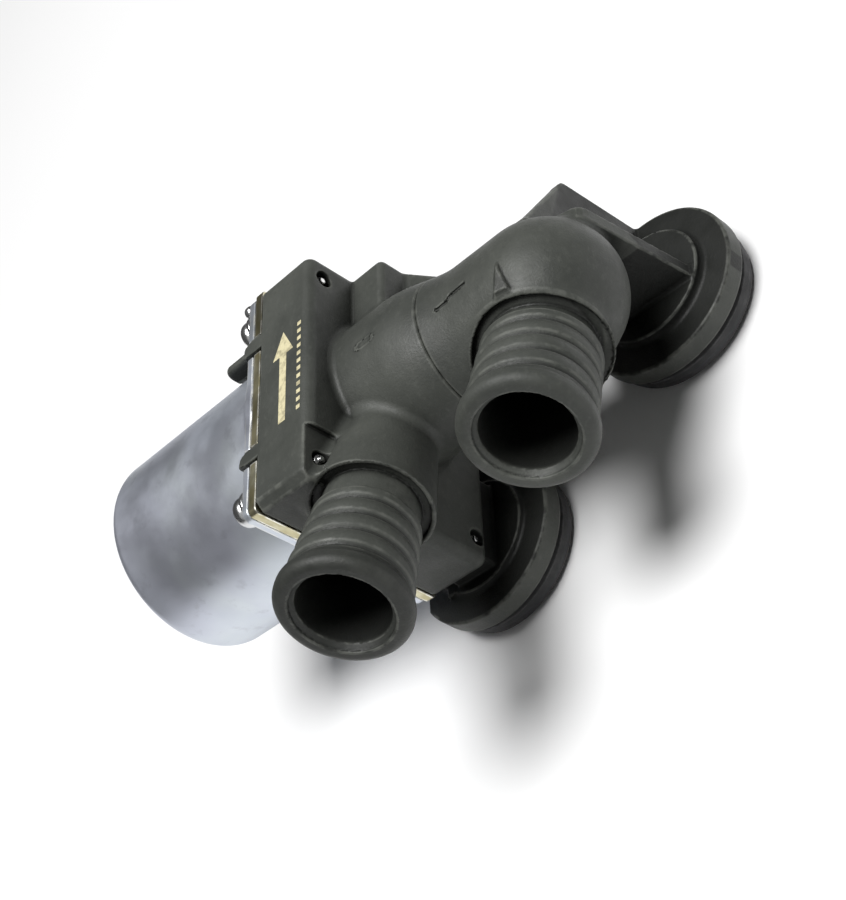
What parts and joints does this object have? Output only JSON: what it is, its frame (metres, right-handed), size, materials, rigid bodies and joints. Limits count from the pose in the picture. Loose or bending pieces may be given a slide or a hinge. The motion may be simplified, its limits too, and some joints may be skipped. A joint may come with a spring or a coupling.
{
  "type": "solenoid coolant valve",
  "caption": "Solenoid-operated coolant valve: black plastic body with ribbed hose nipples, round steel coil can and round rubber-faced mounting discs.",
  "frame": {"origin": "centre of the lower mounting disc's outer face", "axes": "+X along the solenoid axis from the coil can to the elbow's dome; the hose nipples point to -Y, tilted 16 degrees up; +Z away from the mounting faces"},
  "size_m": [0.1089, 0.0847, 0.0552],
  "materials": {
    "body_plastic": "satin moulded glass-filled nylon",
    "ring_rubber": "moulded rubber",
    "zinc_plate": "yellow-tinted zinc plating",
    "can_steel": "blue-passivated zinc plating",
    "bobbin_plastic": "moulded plastic",
    "copper_wire": "enamelled copper",
    "wrap_tape": "polyester wrap",
    "core_steel": "machined steel",
    "guide_brass": "drawn brass",
    "connector_plastic": "moulded plastic",
    "terminal_brass": "tinned brass",
    "screw_steel": "bright zinc plating",
    "seal_rubber": "moulded rubber",
    "rod_steel": "ground stainless steel",
    "poppet_brass": "turned brass",
    "spring_steel": "spring wire"
  },
  "bodies": {
    "valve": {"valve_body": "body_plastic", "outlet_elbow": "body_plastic", "mount_ring_lower": "ring_rubber", "mount_ring_upper": "ring_rubber", "yoke_plate": "zinc_plate", "solenoid_can": "can_steel", "coil_bobbin": "bobbin_plastic", "coil_winding": "copper_wire", "coil_wrap": "wrap_tape", "fixed_core": "core_steel", "guide_tube": "guide_brass", "connector_housing": "connector_plastic", "terminal_pin_a": "terminal_brass", "terminal_pin_b": "terminal_brass", "plate_screw_1": "screw_steel", "plate_screw_2": "screw_steel", "plate_screw_3": "screw_steel", "plate_screw_4": "screw_steel", "locating_rivet": "screw_steel", "body_seal": "seal_rubber", "rod_bush": "guide_brass", "rod_seal": "seal_rubber", "return_spring": "spring_steel"},
    "armature": {"plunger": "core_steel", "valve_rod": "rod_steel", "poppet": "poppet_brass", "poppet_seal": "seal_rubber", "retaining_ring": "rod_steel"}
  },
  "joints": [
    {"name": "plunger_slide", "type": "slide", "parent": "valve", "child": "armature", "axis": [-1, 0, 0], "range_m": [0, 0.0036], "stiffness_N_per_m": 400, "springref_m": -0.004, "deforming": ["return_spring"]}
  ]
}
